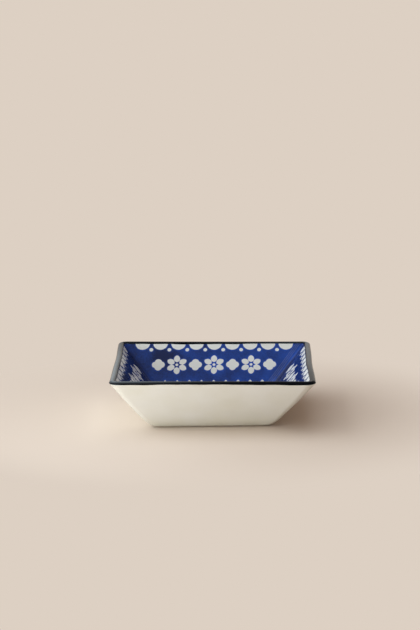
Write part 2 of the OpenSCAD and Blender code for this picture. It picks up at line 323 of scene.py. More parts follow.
class Section:
    """Cross-section of the dish, worked out from its sizes.

    A ring is a level rounded square, given as half its width, its height and its corner radius.
    A profile is an array of rings, and a coat sinks a ring square to its wall.
    """

    def __init__(self, scene):
        sizes = scene.dish_sizes
        self.sizes = sizes
        self.hand = scene.dish_hand
        self.run = (sizes.rim_width - sizes.foot_width) / 2
        self.outer_angle = math.atan2(sizes.band_height, self.run)
        self.hollow_height = sizes.print_height - sizes.floor_height
        self.rim_inside = sizes.rim_width / 2 - sizes.lip_thickness
        self.floor_edge = self.outer_half(sizes.floor_height) - sizes.wall_root
        self.hollow_angle = math.atan2(self.hollow_height, self.rim_inside - self.floor_edge)
        bend_tangent = sizes.bend_radius * math.tan(self.hollow_angle / 2)
        self.bend_half = self.floor_edge - bend_tangent
        self.flat_length = self.hollow_height / math.sin(self.hollow_angle) - bend_tangent
        self.clay_depth = sizes.print_sheet + sizes.glaze

    def outer_half(self, z):
        """Half the width of the outside wall: a straight line from the foot to the band."""
        return self.sizes.foot_width / 2 + self.run * z / self.sizes.band_height

    def outer(self, z, coat=0.0):
        """Ring on the outside wall at a height."""
        level = coat / math.sin(self.outer_angle)
        spread = (self.sizes.rim_corner - self.sizes.foot_corner) * z / self.sizes.band_height
        corner = self.sizes.foot_corner + spread - level
        return np.stack(np.broadcast_arrays(self.outer_half(z) - level, z, corner), axis=-1)

    def hollow_corner(self, z):
        """Corner radius of the hollow, which tightens evenly from floor to rim."""
        rise = (z - self.sizes.floor_height) / self.hollow_height
        spread = self.sizes.hollow_rim_corner - self.sizes.hollow_floor_corner
        return self.sizes.hollow_floor_corner + spread * rise

    def flat(self, drop, coat=0.0):
        """Ring on the straight wall of the hollow, at a distance down its slope from the band."""
        level = coat / math.sin(self.hollow_angle)
        z = self.sizes.print_height - drop * math.sin(self.hollow_angle)
        half = self.rim_inside - drop * math.cos(self.hollow_angle) + level
        return np.stack(np.broadcast_arrays(half, z, self.hollow_corner(z) + level), axis=-1)

    def bend(self, turn, coat=0.0):
        """Ring on the inside bend, after part of the turn from the level floor to the wall."""
        radius = self.sizes.bend_radius
        middle = self.sizes.floor_height + radius
        corner = self.hollow_corner(middle - radius * np.cos(turn)) + coat * np.sin(turn)
        half = self.bend_half + (radius + coat) * np.sin(turn)
        return np.stack([half, middle - (radius + coat) * np.cos(turn), corner], axis=-1)

    def lip(self, turn, outer_coat, inner_coat, top_coat):
        """Ring over the lip, sunk by a coat on each side and on top: a squared arch from wall to wall.

        Its reach follows the cosine of the turn and its rise the sine, both to the power 2 / squareness.
        """
        outside = self.outer(self.sizes.band_height, outer_coat)
        inside = self.flat(0, inner_coat)
        top = self.sizes.height - top_coat
        power = 2 / self.sizes.lip_power
        out = np.sign(np.cos(turn)) * np.abs(np.cos(turn)) ** power
        up = np.abs(np.sin(turn)) ** power
        middle = (outside + inside) / 2
        reach = (outside - inside) / 2
        foot = np.where(turn < QUARTER_TURN, outside[1], inside[1])
        rings = (middle[0] + reach[0] * out, foot + (top - foot) * up, middle[2] + reach[2] * out)
        return np.stack(np.broadcast_arrays(*rings), axis=-1)

    def hollow(self, coat, flat_rings, bend_rings):
        """Profile of the hollow from the band down to the edge of the level floor."""
        drops = np.linspace(0, self.flat_length, flat_rings, endpoint=False)
        turns = np.linspace(self.hollow_angle, 0, bend_rings)
        return np.concatenate([self.flat(drops, coat), self.bend(turns, coat)])

    def finished(self, points):
        """Moves points as a hand-finished dish strays from true, less and less towards the foot.

        With the height as a share of the dish's, the walls bulge by a parabola of it that is 1 halfway up,
        and the rim shifts and leans in step with it. With its square, the sides bow in by a parabola, and
        the left and right ones wave in a cosine. Near the foot the walls tuck in by a parabola.
        """
        x, y, z = points[..., 0], points[..., 1], points[..., 2]
        hand = self.hand
        half = self.sizes.rim_width / 2
        up = z / self.sizes.height
        tuck = hand.tuck * np.clip(1 - z / hand.tuck_height, 0, 1) ** 2
        bulge = (hand.bulge * 4 * up * (1 - up) - tuck) / self.outer_half(z)
        turn = math.pi * (hand.wave_count * y - hand.wave_slip * x) / half - hand.wave_start
        side = hand.wave * np.cos(turn) - hand.bow * (1 - (y / half) ** 2)
        front = -hand.bow * (1 - (x / half) ** 2)
        moves = [
            x * (bulge + side * up**2 / half) + hand.rim_shift * up,
            y * (bulge + front * up**2 / half),
            -math.tan(hand.rim_lean) * x * up,
        ]
        return points + np.stack(moves, axis=-1)


def ring_places(side_steps, corner_steps):
    """Places round a rounded square, counter-clockwise from above, starting along its +X side.

    A place is two level vectors: one scales with the middle of a corner, the other with its radius.
    Along a side the first vector slides from corner to corner, and round a corner the second one turns.
    """
    slide = np.linspace(-1, 1, side_steps, endpoint=False)
    turn = np.linspace(0, QUARTER_TURN, corner_steps, endpoint=False)
    along = np.concatenate([slide, np.ones_like(turn)])
    turn = np.concatenate([np.zeros_like(slide), turn])
    quarter = np.stack([np.ones_like(along), along, np.cos(turn), np.sin(turn)], axis=-1)
    return np.concatenate([turned(quarter, turns) for turns in range(4)])


def side_places(turns, side_steps, corner_steps):
    """Places along one side alone, from the middle of one corner to the middle of the next."""
    lead = np.linspace(-QUARTER_TURN / 2, 0, corner_steps, endpoint=False)
    slide = np.linspace(-1, 1, side_steps)
    tail = np.linspace(0, QUARTER_TURN / 2, corner_steps + 1)[1:]
    along = np.concatenate([-np.ones_like(lead), slide, np.ones_like(tail)])
    turn = np.concatenate([lead, np.zeros_like(slide), tail])
    places = np.stack([np.ones_like(along), along, np.cos(turn), np.sin(turn)], axis=-1)
    return turned(places, turns)


def turned(places, turns):
    """Turns both vectors of each place by a number of quarter turns."""
    cos, sin = [(1, 0), (0, 1), (-1, 0), (0, -1)][turns]
    turn = np.array([[cos, sin], [-sin, cos]])
    return np.concatenate([places[:, :2] @ turn, places[:, 2:] @ turn], axis=1)


def loft(profile, places):
    """Carries the rings of a profile round the places: a grid of points, one row to each ring.

    Point = (half width - corner radius) x first vector + corner radius x second vector, at the ring's height.
    """
    rings = profile[:, None, :] if profile.ndim == 2 else profile
    half, z, corner = rings[..., 0:1], rings[..., 1], rings[..., 2:3]
    level = (half - corner) * places[:, :2] + corner * places[:, 2:]
    height = np.broadcast_to(z, level.shape[:2])
    return np.concatenate([level, height[..., None]], axis=-1)


def grid_faces(rows, columns, loop_rows, loop_columns):
    """Four-sided faces of a grid of points, row by row; a loop joins its last line to its first."""
    row = columns * np.arange(rows if loop_rows else rows - 1)[:, None]
    column = np.arange(columns if loop_columns else columns - 1)
    below = (row + columns) % (rows * columns)
    beside = (column + 1) % columns
    corners = [row + column, row + beside, below + beside, below + column]
    return np.stack(np.broadcast_arrays(*corners), axis=-1).reshape(-1, 4).tolist()


def new_piece(name, points, faces, material):
    """Makes a smooth mesh from a grid of points, with its steep edges kept sharp."""
    mesh = bpy.data.meshes.new(name)
    mesh.from_pydata(points.reshape(-1, 3).tolist(), [], faces)
    if mesh.validate():
        raise RuntimeError(f"{name}: the mesh has broken faces")
    mesh.polygons.foreach_set("use_smooth", np.ones(len(mesh.polygons), bool))
    mesh.set_sharp_from_angle(angle=SHARP_ANGLE)
    mesh.materials.append(material)
    piece = bpy.data.objects.new(name, mesh)
    bpy.context.scene.collection.objects.link(piece)
    return piece


def cup(section, name, profile, places, material):
    """A piece closed by flat faces on its first ring, which looks down, and its last, which looks up."""
    columns = len(places)
    points = section.finished(loft(profile, places))
    first = np.arange(columns)
    last = first + (len(profile) - 1) * columns
    faces = grid_faces(len(profile), columns, False, True) + [first[::-1].tolist(), last.tolist()]
    return new_piece(name, points, faces, material)


def tube(section, name, profile, places, material):
    """A piece whose profile comes back to its first ring, all the way round."""
    faces = grid_faces(len(profile), len(places), True, True)
    return new_piece(name, section.finished(loft(profile, places)), faces, material)


def attribute(piece, name, values):
    """Keeps one number for each point of a piece, for its material to read."""
    layer = piece.data.attributes.new(name, "FLOAT", "POINT")
    layer.data.foreach_set("value", np.ascontiguousarray(values, np.float32).ravel())


def dress(piece, slot, *nodes):
    """Puts a piece in the place of its solids: it rides on the dish and its solids are hidden. The slot is
    not used.
    """
    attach(piece, "root")
    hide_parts(*nodes)


# Motifs of the print, as the depth inside them, which is less than nothing outside


def disc(radius, x, y):
    """Depth inside a round motif: its radius less the distance from its middle."""
    return radius - np.hypot(x, y)


def nearest(position, pitch, most):
    """Distance to the nearest copy in a row a pitch apart, with so many to each side of the middle one."""
    return position - pitch * np.clip(np.round(position / pitch), -most, most)


def nearest_between(position, pitch, most):
    """Distance to the nearest of the copies that stand midway between the places of such a row."""
    step = np.clip(np.floor(position / pitch), -most, most - 1)
    return position - pitch * (step + 0.5)


def folded(x, y, copies, first_turn):
    """Folds a plane into the sector of the nearest of some copies round the middle, laid along +X."""
    sector = FULL_TURN / copies
    turn = np.arctan2(y, x) - first_turn
    turn = turn - sector * np.round(turn / sector)
    radius = np.hypot(x, y)
    return radius * np.cos(turn), radius * np.sin(turn)


def rosette(x, y, radius, petals, width_share, first_turn, prints):
    """Depth inside a rosette: a round heart, and petals where two round arcs cross."""
    start = radius * prints.petal_start_share
    petal_length = radius - start
    petal_width = radius * width_share
    arc = (petal_length**2 + petal_width**2) / (4 * petal_width)
    along, across = folded(x, y, petals, first_turn)
    petal = disc(arc, along - start - petal_length / 2, np.abs(across) + arc - petal_width / 2)
    return np.maximum(petal, disc(radius * prints.heart_share, x, y))


def quatrefoil(x, y, prints):
    """Depth inside a quatrefoil: round lobes that overlap at the middle."""
    lobe = prints.quatrefoil * prints.lobe_share
    along, across = folded(x, y, prints.lobes, 0)
    return disc(lobe, along - prints.quatrefoil + lobe, across)


def lozenge(x, y, prints):
    """Depth inside a lozenge: the distance to the nearest of its four straight sides."""
    half_width, half_height = prints.lozenge_width / 2, prints.lozenge_height / 2
    inside = 1 - np.abs(x) / half_width - np.abs(y) / half_height
    return inside * half_width * half_height / math.hypot(half_width, half_height)


def wall_motifs(along, drop, section, prints):
    """Depth inside the motifs of a wall, at a distance along it and a distance down its slope."""
    lozenge_drop = section.flat_length - prints.lozenge_rise - prints.lozenge_height / 2
    rosette_drop = (prints.scallop + lozenge_drop - prints.lozenge_height / 2) / 2
    pitch = 2 * prints.rosette_pitch
    scallop = nearest(along, prints.scallop_pitch, prints.scallops)
    bead = nearest_between(along, prints.scallop_pitch, prints.scallops)
    flower = nearest(along, pitch, prints.rosettes)
    petals = (prints.wall_petals, prints.wall_petal_share, QUARTER_TURN)
    between = nearest_between(along, pitch, prints.rosettes + 1)
    motifs = [
        disc(prints.scallop, scallop, drop),
        disc(prints.bead, bead, drop - prints.scallop),
        rosette(flower, drop - rosette_drop, prints.rosette, *petals, prints),
        quatrefoil(between, drop - rosette_drop, prints),
        lozenge(nearest(along, prints.lozenge_pitch, prints.lozenges), drop - lozenge_drop, prints),
    ]
    return np.maximum.reduce(motifs)


def floor_motifs(x, y, section, prints):
    """Depth inside the motifs of the floor."""
    bead_along, bead_across = folded(x, y, prints.floor_beads, 0)
    corner = section.bend_half - prints.floor_quatrefoil_gap - prints.quatrefoil
    motifs = [
        rosette(x, y, prints.floor_rosette, prints.floor_petals, prints.floor_petal_share, 0, prints),
        disc(prints.bead, bead_along - prints.floor_rosette - prints.floor_bead_gap, bead_across),
        quatrefoil(np.abs(x) - corner, np.abs(y) - corner, prints),
    ]
    return np.maximum.reduce(motifs)


# Materials


def add(tree, kind, inputs=None, out=0, **settings):
    """Adds a node with its settings, sets or links its inputs, and returns one of its outputs, if any."""
    node = tree.nodes.new(kind)
    for name, value in settings.items():
        setattr(node, name, value)
    for name, value in (inputs or {}).items():
        if isinstance(value, bpy.types.NodeSocket):
            tree.links.new(value, node.inputs[name])
        else:
            node.inputs[name].default_value = value
    return node.outputs[out] if node.outputs else None


def new_material(name, slot_colour):
    """Makes a material with an empty node tree, and returns it with that tree and the place on a piece."""
    material = bpy.data.materials.new(name)
    material.use_nodes = True
    material.diffuse_color = slot_colour
    tree = material.node_tree
    tree.nodes.clear()
    return material, tree, add(tree, "ShaderNodeTexCoord", out="Object")


def glazed_surface(tree, place, finish, base_colour, ior):
    """Fired glaze: smooth and glassy, with a slow ripple in its surface, as it ran and set in the kiln."""
    ripple = add(tree, "ShaderNodeTexNoise", {"Vector": place, "Scale": 1 / finish.ripple, "Detail": 1.0})
    bump = add(tree, "ShaderNodeBump", {"Height": ripple, "Distance": finish.ripple_depth})
    glaze = {"Base Color": base_colour, "Roughness": finish.glaze_roughness, "IOR": ior, "Normal": bump}
    shader = add(tree, "ShaderNodeBsdfPrincipled", glaze)
    add(tree, "ShaderNodeOutputMaterial", {"Surface": shader})


def cream_glaze(scene):
    """Cream stoneware glaze, dipped: soft clouds of thicker glaze, and a deeper tone where it ran down."""
    tones, finish = scene.dish_colours, scene.dish_finish
    material, tree, place = new_material("cream_dipped_glaze", tones.cream)
    clouds = add(tree, "ShaderNodeTexNoise", {"Vector": place, "Scale": 1 / finish.cloud, "Detail": 3.0})
    low = {
        "Value": add(tree, "ShaderNodeSeparateXYZ", {"Vector": place}, out="Z"),
        "From Min": scene.dish_sizes.height * finish.pooled_reach_share,
        "From Max": scene.dish_sizes.ring_height,
        "To Max": finish.pooled_share,
    }
    pooled = add(tree, "ShaderNodeMapRange", low, interpolation_type="SMOOTHSTEP")
    thick = add(tree, "ShaderNodeMath", {0: clouds, 1: pooled}, operation="ADD")
    amount = add(tree, "ShaderNodeMapRange", {"Value": thick, "From Min": finish.cloud_start})
    mixed = {AMOUNT: amount, AT_NONE: tones.cream, AT_FULL: tones.pooled_cream}
    tone = add(tree, "ShaderNodeMix", mixed, MIXED, data_type="RGBA")
    glazed_surface(tree, place, finish, tone, finish.glaze_ior)
    return material


def white_glaze(scene):
    """Clear glaze over white slip, poured: even, with a faint cloudiness of its thickness."""
    tones, finish = scene.dish_colours, scene.dish_finish
    material, tree, place = new_material("white_poured_glaze", tones.white)
    clouds = add(tree, "ShaderNodeTexNoise", {"Vector": place, "Scale": 1 / finish.cloud, "Detail": 2.0})
    mixed = {AMOUNT: clouds, AT_NONE: tones.white, AT_FULL: tones.cream}
    tone = add(tree, "ShaderNodeMix", mixed, MIXED, data_type="RGBA")
    glazed_surface(tree, place, finish, tone, finish.glaze_ior)
    return material


def cobalt_print(scene):
    """Cobalt transfer under clear glaze: a screened ground that clouds and grains, with white reserves.

    The colour bled a little as it melted, so the motifs' edges are soft and wander. Hairline creases run
    beside the corners.
    """
    tones, finish = scene.dish_colours, scene.dish_finish
    material, tree, place = new_material("cobalt_transfer_print", tones.cobalt)
    depth = add(tree, "ShaderNodeAttribute", out="Fac", attribute_name="motif")
    wander = add(tree, "ShaderNodeTexNoise", {"Vector": place, "Scale": 1 / finish.wander, "Detail": 2.0})
    stray = {0: wander, 1: 2 * finish.wander_depth, 2: -finish.wander_depth}
    strayed = add(tree, "ShaderNodeMath", stray, operation="MULTIPLY_ADD")
    edge = add(tree, "ShaderNodeMath", {0: depth, 1: strayed}, operation="ADD")
    bleed = {"Value": edge, "From Min": -finish.bleed, "From Max": finish.bleed}
    reserve = add(tree, "ShaderNodeMapRange", bleed, interpolation_type="SMOOTHSTEP")
    creases = print_creases(tree, finish)
    bare = add(tree, "ShaderNodeMath", {0: reserve, 1: creases}, operation="MAXIMUM")
    ground = print_ground(tree, place, edge, tones, finish)
    mixed = {AMOUNT: bare, AT_NONE: ground, AT_FULL: tones.white}
    tone = add(tree, "ShaderNodeMix", mixed, MIXED, data_type="RGBA")
    glazed_surface(tree, place, finish, tone, finish.print_ior)
    return material


def print_ground(tree, place, edge, tones, finish):
    """Colour of the ground: it clouds and grains, and is deeper where the thick attribute lays a painted
    shade, on the left sheet and the left end of the back sheet where the left wall's shade falls, and a
    deeper tone elsewhere.

    It is lighter in a narrow halo round the motifs, where the colour drew back as it melted.
    """
    cloud = {"Vector": place, "Scale": 1 / finish.print_cloud, "Detail": 3.0}
    clouds = add(tree, "ShaderNodeTexNoise", cloud)
    # The screen's grain is finer than this on the real print, and is drawn as coarse as it needs to show
    fine = {"Vector": place, "Scale": 1 / finish.print_grain, "Detail": 1.0}
    grain = add(tree, "ShaderNodeTexNoise", fine)
    both = {0: grain, 1: finish.grain_share, 2: clouds}
    uneven = add(tree, "ShaderNodeMath", both, operation="MULTIPLY_ADD")
    near = {"Value": edge, "From Min": -finish.halo, "From Max": 0.0, "To Max": finish.halo_share}
    halo = add(tree, "ShaderNodeMapRange", near, interpolation_type="SMOOTHSTEP")
    lighter = add(tree, "ShaderNodeMath", {0: uneven, 1: halo}, operation="ADD")
    # Painted shade: the thick attribute deepens the ground where the left wall's shade falls
    thick = add(tree, "ShaderNodeAttribute", out="Fac", attribute_name="thick")
    deeper = {0: thick, 1: -finish.painted_shade_share, 2: lighter}
    deepened = add(tree, "ShaderNodeMath", deeper, operation="MULTIPLY_ADD")
    spread = {"Value": deepened, "From Min": finish.deep_ground, "From Max": finish.light_ground}
    amount = add(tree, "ShaderNodeMapRange", spread)
    mixed = {AMOUNT: amount, AT_NONE: tones.deep_cobalt_and_shade, AT_FULL: tones.cobalt}
    return add(tree, "ShaderNodeMix", mixed, MIXED, data_type="RGBA")


def print_creases(tree, finish):
    """Share of white that the hairline creases let through, by the distance from a corner.

    The creases stand at even steps past the first, and each fades evenly to both sides of its middle.
    """
    corner = add(tree, "ShaderNodeAttribute", out="Fac", attribute_name="corner")
    half_step = finish.crease_step / 2
    half_span = half_step * finish.creases
    first = {0: corner, 1: finish.crease_start - half_step}
    past = add(tree, "ShaderNodeMath", first, operation="SUBTRACT")
    line = {
        "Value": add(tree, "ShaderNodeMath", {0: past, 1: half_step}, operation="PINGPONG"),
        "From Min": half_step - finish.crease_width / 2,
        "From Max": half_step,
        "To Max": finish.crease_share,
    }
    lines = add(tree, "ShaderNodeMapRange", line)
    within = add(tree, "ShaderNodeMath", {0: past, 1: half_span, 2: half_span}, operation="COMPARE")
    return add(tree, "ShaderNodeMath", {0: lines, 1: within}, operation="MULTIPLY")


def navy_glaze(scene):
    """Dark navy glaze, brushed on the lip: nearly black where it is thick, grey-blue where it thins.

    A painted sheen greys it on top of the lip, in place of the grazing reflection of the pale backdrop, and
    the brush ran out at its edges.
    """
    tones, finish = scene.dish_colours, scene.dish_finish
    material, tree, place = new_material("navy_brushed_glaze", tones.navy)
    inward = add(tree, "ShaderNodeAttribute", out="Fac", attribute_name="inward")
    streaks = add(tree, "ShaderNodeTexNoise", {"Vector": place, "Scale": 1 / finish.streak, "Detail": 2.0})
    fray = {0: streaks, 1: -finish.streak_depth, 2: inward}
    frayed = add(tree, "ShaderNodeMath", fray, operation="MULTIPLY_ADD")
    edge = add(tree, "ShaderNodeMath", {0: frayed, 1: finish.streak_depth / 2}, operation="ADD")
    thick = {"Value": edge, "From Min": 0.0, "From Max": finish.thin_edge}
    covered = add(tree, "ShaderNodeMapRange", thick, interpolation_type="SMOOTHSTEP")
    # Painted sheen: the crown attribute turns the top of the lip grey, in place of its grazing reflection
    crown = add(tree, "ShaderNodeAttribute", out="Fac", attribute_name="crown")
    unsheened = add(tree, "ShaderNodeMath", {0: 1.0, 1: crown}, operation="SUBTRACT")
    amount = add(tree, "ShaderNodeMath", {0: covered, 1: unsheened}, operation="MULTIPLY")
    painted = {AMOUNT: amount, AT_NONE: tones.thin_navy_and_sheen, AT_FULL: tones.navy}
    paint = add(tree, "ShaderNodeMix", painted, MIXED, data_type="RGBA")
    fade = {"Value": edge, "From Min": 0.0, "From Max": -finish.bare_edge, "To Max": finish.bare_share}
    bare = add(tree, "ShaderNodeMapRange", fade, interpolation_type="SMOOTHSTEP")
    mixed = {AMOUNT: bare, AT_NONE: paint, AT_FULL: tones.cream}
    tone = add(tree, "ShaderNodeMix", mixed, MIXED, data_type="RGBA")
    glazed_surface(tree, place, finish, tone, finish.band_ior)
    return material


def bare_clay(scene):
    """Bare stoneware, fired and ground flat: dry and matt, with sand-sized grains that vary its tone."""
    tones, finish = scene.dish_colours, scene.dish_finish
    material, tree, place = new_material("bare_fired_stoneware", tones.clay)
    sand = {"Vector": place, "Scale": 1 / finish.sand_grain, "Detail": 4.0}
    grains = add(tree, "ShaderNodeTexNoise", sand)
    mixed = {AMOUNT: grains, AT_NONE: tones.sand, AT_FULL: tones.clay}
    tone = add(tree, "ShaderNodeMix", mixed, MIXED, data_type="RGBA")
    bump = add(tree, "ShaderNodeBump", {"Height": grains, "Distance": finish.sand_depth})
    matt = {"Base Color": tone, "Roughness": finish.clay_roughness, "Normal": bump}
    shader = add(tree, "ShaderNodeBsdfPrincipled", matt)
    add(tree, "ShaderNodeOutputMaterial", {"Surface": shader})
    return material


# Pieces of the dish, and the stage


class SAUCEDISH_OT_stoneware_body(bpy.types.Operator):
    """Clay of the dish: its foot ring, walls, lip and floor, under the glaze"""

    bl_idname = "saucedish.stoneware_body"
    bl_label = "Stoneware body"

    def execute(self, context):
        section = Section(context.scene)
        sizes = section.sizes
        root = section.outer(sizes.ring_height, sizes.glaze)
        foot = root - [sizes.ring_inset, 0, 0]
        recess = np.array([sizes.recess_half, sizes.ring_height, sizes.foot_corner])
        foot_edges = self.foot_edges(sizes, recess, foot)
        over = np.linspace(0, math.pi, CLAY_LIP_RINGS)
        lip = section.lip(over, sizes.glaze, section.clay_depth, sizes.band)
        hollow = section.hollow(section.clay_depth, *COAT_RINGS)
        profile = np.concatenate([[recess], *foot_edges, [foot, root], lip, hollow[1:]])
        clay = bare_clay(context.scene)
        piece = cup(section, "stoneware_body", profile, ring_places(*PLAIN_STEPS), clay)
        dress(piece, "stoneware_clay", "clay_body")
        return {"FINISHED"}

    @staticmethod
    def foot_edges(sizes, recess, foot):
        """Edges of the face that the dish stands on, inside and outside, rounded by quarter circles."""
        turn = np.linspace(0, QUARTER_TURN, FOOT_EDGE_RINGS)[:, None]
        cos, sin = np.cos(turn), np.sin(turn)
        down = [0, sizes.ring_height, 0]
        inner = recess - down + sizes.ring_edge * np.concatenate([1 - cos, 1 - sin, cos - 1], axis=1)
        outer = foot - down + sizes.ring_edge * np.concatenate([sin - 1, 1 - cos, sin - 1], axis=1)
        return inner, outer


class SAUCEDISH_OT_outside_glazes(bpy.types.Operator):
    """Cream glaze outside: the coat on the walls, rolled at its lower edge, and the one in the recess"""

    bl_idname = "saucedish.outside_glazes"
    bl_label = "Outside glazes"

    # How far in from the foot ring, and how far down it, the recess coat curves, in shares of its thickness
    CREEP_SHARES = ((2, 0), (1 / 2, 1 / 8), (0, 1 / 2))

    def execute(self, context):
        section = Section(context.scene)
        cream = cream_glaze(context.scene)
        walls = self.wall_profile(section)
        piece = tube(section, "outside_glaze", walls, ring_places(*WALL_STEPS), cream)
        dress(piece, "cream_glaze", "outer_glaze")
        recess = self.recess_profile(section.sizes)
        piece = cup(section, "recess_glaze", recess, ring_places(*PLAIN_STEPS), cream)
        dress(piece, "cream_glaze", "base_glaze")
        return {"FINISHED"}

    @staticmethod
    def wall_profile(section):
        """Up the outside wall from a rolled edge, which is an arc that meets wall and underside, and back."""
        sizes = section.sizes
        tangent = sizes.glaze_roll * math.tan(section.outer_angle / 2)
        middle = section.outer(sizes.ring_height) + [-tangent, sizes.glaze_roll, -tangent]
        turn = np.linspace(0, section.outer_angle, ROLL_RINGS)[:, None]
        roll = middle + sizes.glaze_roll * np.concatenate([np.sin(turn), -np.cos(turn), np.sin(turn)], axis=1)
        start = sizes.ring_height + tangent * math.sin(section.outer_angle)
        heights = np.linspace(start, sizes.band_height, WALL_RINGS)[1:]
        back = np.array([sizes.band_height, start])
        return np.concatenate([roll, section.outer(heights), section.outer(back, sizes.glaze)])

    def recess_profile(self, sizes):
        """A flat coat under the floor of the recess, whose edge curves down where it meets the foot ring."""
        edge = np.array([sizes.recess_half, sizes.ring_height, sizes.foot_corner])
        inset, creep = sizes.glaze * np.array(self.CREEP_SHARES).T
        curve = edge - np.stack([inset, sizes.glaze + creep, inset], axis=-1)
        return np.concatenate([curve, [edge]])


class SAUCEDISH_OT_inside_glaze(bpy.types.Operator):
    """White glaze inside, under the printed transfers"""

    bl_idname = "saucedish.inside_glaze"
    bl_label = "Inside glaze"

    def execute(self, context):
        section = Section(context.scene)
        below = section.hollow(section.clay_depth, *COAT_RINGS)[::-1]
        above = section.hollow(section.sizes.print_sheet, *COAT_RINGS)
        profile = np.concatenate([below, above])
        white = white_glaze(context.scene)
        piece = cup(section, "inside_glaze", profile, ring_places(*PLAIN_STEPS), white)
        dress(piece, "white_glaze", "inner_glaze")
        return {"FINISHED"}


class SAUCEDISH_OT_brushed_rim(bpy.types.Operator):
    """Dark band brushed over the lip, whose edges wander a little down both faces of the wall"""

    bl_idname = "saucedish.brushed_rim"
    bl_label = "Brushed rim"

    # Rings from the band's edge up to the lip: shares of its drop, and of its lift off the glaze
    DROP_SHARES = (1, 0.9, 0.7, 0.45, 0.2)
    LIFT_SHARES = (-0.3, 0.45, 0.85, 1, 1)
    # Waves of the band's edge: number round the rim, strength, start in radians, and times that a lag counts
    EDGE_WAVES = ((4, 1, 2.5, 1), (17, 0.4, 0, 2), (31, 0.3, 0, 0))
    # How far the waves of the inside edge lag behind those outside, in radians
    INSIDE_LAG = 2
    # Waves of the painted sheen on top of the lip: number round the rim, strength, and start in radians
    SHEEN_WAVES = ((2, 0.75, -0.6), (1, 0.4, -2.24))
    SHEEN_POWER = 1.5
    CROWN_POWER = 3

    def execute(self, context):
        section = Section(context.scene)
        sizes = section.sizes
        places = ring_places(*RIM_STEPS)
        turn = FULL_TURN * np.arange(len(places)) / len(places)
        drops = np.array(self.DROP_SHARES)[:, None]
        lifts = sizes.band_lift * np.array(self.LIFT_SHARES)[:, None]
        outside_drop = drops * self.edge_drop(sizes, turn, 0)
        inside_drop = drops[::-1] * self.edge_drop(sizes, turn, self.INSIDE_LAG)
        outside = section.outer(sizes.band_height - outside_drop * math.sin(section.outer_angle), -lifts)
        inside = section.flat(inside_drop, -lifts[::-1])
        over = np.linspace(0, math.pi, LIP_RINGS)[:, None]
        back_over = np.linspace(math.pi, 0, BAND_BACK_RINGS)[:, None]
        lip = section.lip(over, -sizes.band_lift, -sizes.band_lift, -sizes.band_lift)
        under = section.lip(back_over, sizes.glaze, section.clay_depth, sizes.band)
        rows = [outside, lip, inside, under]
        wide = np.concatenate([np.broadcast_to(row, (len(row), len(places), 3)) for row in rows])
        piece = tube(section, "brushed_rim", wide, places, navy_glaze(context.scene))
        face_rows = len(wide) - len(under)
        inward = np.full(wide.shape[:2], sizes.lip_thickness)
        inward[:face_rows] = self.inward(sizes, wide[:face_rows], places)
        attribute(piece, "inward", inward)
        # Painted sheen over the top of the lip, strongest along the left and right sides and most on the left
        crown = np.zeros(wide.shape[:2])
        lip_rows = slice(len(outside), len(outside) + len(lip))
        crown[lip_rows] = np.sin(over) ** self.CROWN_POWER * self.sheen_strength(turn)
        attribute(piece, "crown", crown * context.scene.dish_finish.painted_sheen_share)
        dress(piece, "navy_rim_glaze", "rim_band")
        return {"FINISHED"}

    def edge_drop(self, sizes, turn, lag):
        """How far the band runs down, all round: a mean drop and sine waves of the brush's hand."""
        numbers, strengths, starts, lags = np.array(self.EDGE_WAVES).T[..., None]
        waves = strengths * np.sin(numbers * turn + starts + lags * lag)
        return sizes.band_drop + sizes.brush_wander * waves.sum(axis=0) / strengths.sum()

    def sheen_strength(self, turn):
        """How strong the painted sheen on top of the lip is, all round, from 0 to about 1: half of 1 plus two
        sine waves, to a power.

        It is strongest along the left and right sides, and most on the left, towards the light.
        """
        numbers, strengths, starts = np.array(self.SHEEN_WAVES).T[..., None]
        waves = strengths * np.sin(numbers * turn + starts)
        return ((1 + waves.sum(axis=0)) / 2) ** self.SHEEN_POWER

    @staticmethod
    def inward(sizes, rings, places):
        """Distance over the face of the band from its nearer painted edge, less than nothing past the edge.

        It is the sum of the steps between the rings, and near a corner the outer edge draws up by a bell
        curve of the distance from that corner.
        """
        steps = np.hypot(*np.moveaxis(np.diff(rings[..., :2], axis=0), -1, 0))
        from_outside = np.concatenate([np.zeros_like(steps[:1]), np.cumsum(steps, axis=0)])
        from_inside = from_outside[-1:] - from_outside
        corner = (1 - np.abs(places[:, :2]).min(axis=1)) * sizes.rim_width / 2
        rise = sizes.corner_rise * np.exp(-((corner / sizes.corner_reach) ** 2))
        return np.minimum(from_outside - rise, from_inside)


